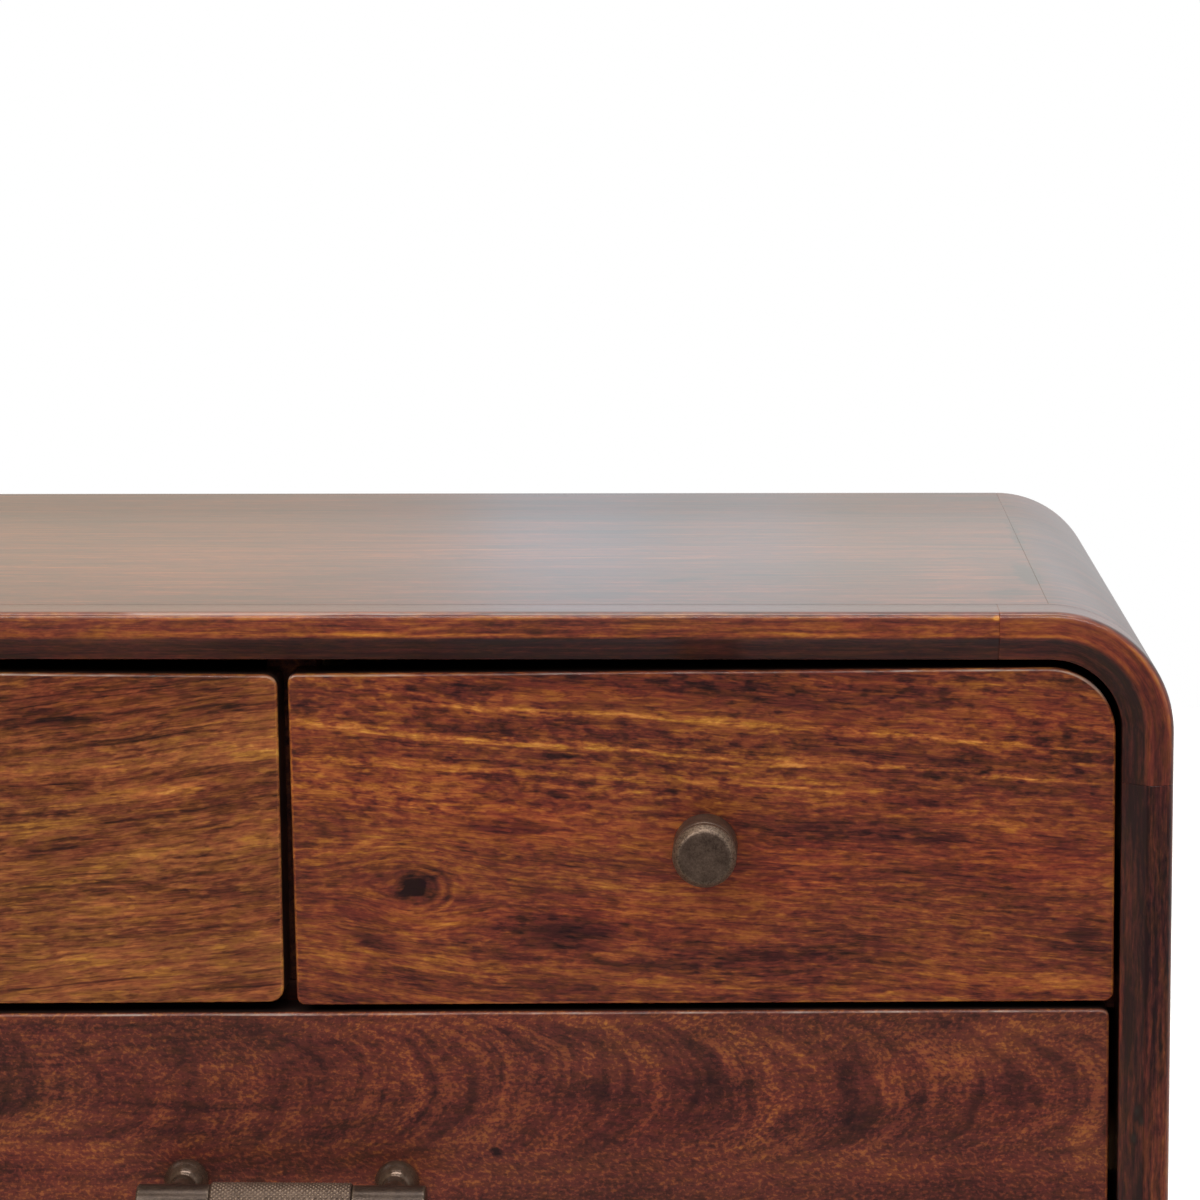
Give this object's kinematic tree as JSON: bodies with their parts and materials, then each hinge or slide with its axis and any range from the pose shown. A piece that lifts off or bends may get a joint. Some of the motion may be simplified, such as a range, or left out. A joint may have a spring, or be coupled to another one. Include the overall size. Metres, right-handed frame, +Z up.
{
  "type": "nightstand",
  "caption": "Rounded wooden nightstand on splayed turned legs, with small drawers side by side on round knobs over a wide drawer with a knurled bar pull.",
  "frame": {"origin": "on the floor, under the middle of the overall box", "axes": "+Z up, +X to the right as seen from the front, +Y to the back; drawers open along -Y"},
  "size_m": [0.555, 0.375, 0.56],
  "materials": {
    "stained_wood": "satin lacquer over chestnut stain",
    "drawer_wood": "bare sanded hardwood",
    "back_board": "stained plywood",
    "antique_metal": "antique bronze, satin",
    "knurled_grip": "antique bronze, knurled",
    "screw_steel": "zinc plated",
    "glide_plastic": "matte nylon"
  },
  "bodies": {
    "cabinet": {"top_panel": "stained_wood", "bottom_panel": "stained_wood", "left_side_panel": "stained_wood", "right_side_panel": "stained_wood", "top_left_corner_block": "stained_wood", "top_right_corner_block": "stained_wood", "bottom_left_corner_block": "stained_wood", "bottom_right_corner_block": "stained_wood", "frame_top_rail": "stained_wood", "frame_bottom_rail": "stained_wood", "frame_left_stile": "stained_wood", "frame_right_stile": "stained_wood", "frame_top_left_corner": "stained_wood", "frame_top_right_corner": "stained_wood", "frame_bottom_left_corner": "stained_wood", "frame_bottom_right_corner": "stained_wood", "leg_front_left": "stained_wood", "leg_front_right": "stained_wood", "leg_back_left": "stained_wood", "leg_back_right": "stained_wood", "mid_shelf": "drawer_wood", "centre_divider": "drawer_wood", "runner_left_outer": "drawer_wood", "runner_left_inner": "drawer_wood", "runner_right_inner": "drawer_wood", "runner_right_outer": "drawer_wood", "runner_lower_left": "drawer_wood", "runner_lower_right": "drawer_wood", "carcass_dowels": "drawer_wood", "leg_blocks": "stained_wood", "back_panel": "back_board", "back_panel_screws": "screw_steel", "runner_screws": "screw_steel", "leg_block_screws": "screw_steel", "leg_bolts": "screw_steel", "foot_glides": "glide_plastic"},
    "left_drawer": {"left_drawer_front": "stained_wood", "left_drawer_outer_side": "drawer_wood", "left_drawer_inner_side": "drawer_wood", "left_drawer_back": "drawer_wood", "left_drawer_base": "drawer_wood", "left_knob": "antique_metal", "left_knob_screw": "screw_steel"},
    "right_drawer": {"right_drawer_front": "stained_wood", "right_drawer_outer_side": "drawer_wood", "right_drawer_inner_side": "drawer_wood", "right_drawer_back": "drawer_wood", "right_drawer_base": "drawer_wood", "right_knob": "antique_metal", "right_knob_screw": "screw_steel"},
    "lower_drawer": {"lower_drawer_front": "stained_wood", "lower_drawer_left_side": "drawer_wood", "lower_drawer_right_side": "drawer_wood", "lower_drawer_back": "drawer_wood", "lower_drawer_base": "drawer_wood", "pull_left_bracket": "antique_metal", "pull_right_bracket": "antique_metal", "pull_grip_bar": "knurled_grip", "pull_screws": "screw_steel"}
  },
  "joints": [
    {"name": "left_drawer_slide", "type": "slide", "parent": "cabinet", "child": "left_drawer", "axis": [0, -1, 0], "range_m": [0, 0.24]},
    {"name": "right_drawer_slide", "type": "slide", "parent": "cabinet", "child": "right_drawer", "axis": [0, -1, 0], "range_m": [0, 0.24]},
    {"name": "lower_drawer_slide", "type": "slide", "parent": "cabinet", "child": "lower_drawer", "axis": [0, -1, 0], "range_m": [0, 0.24]}
  ]
}
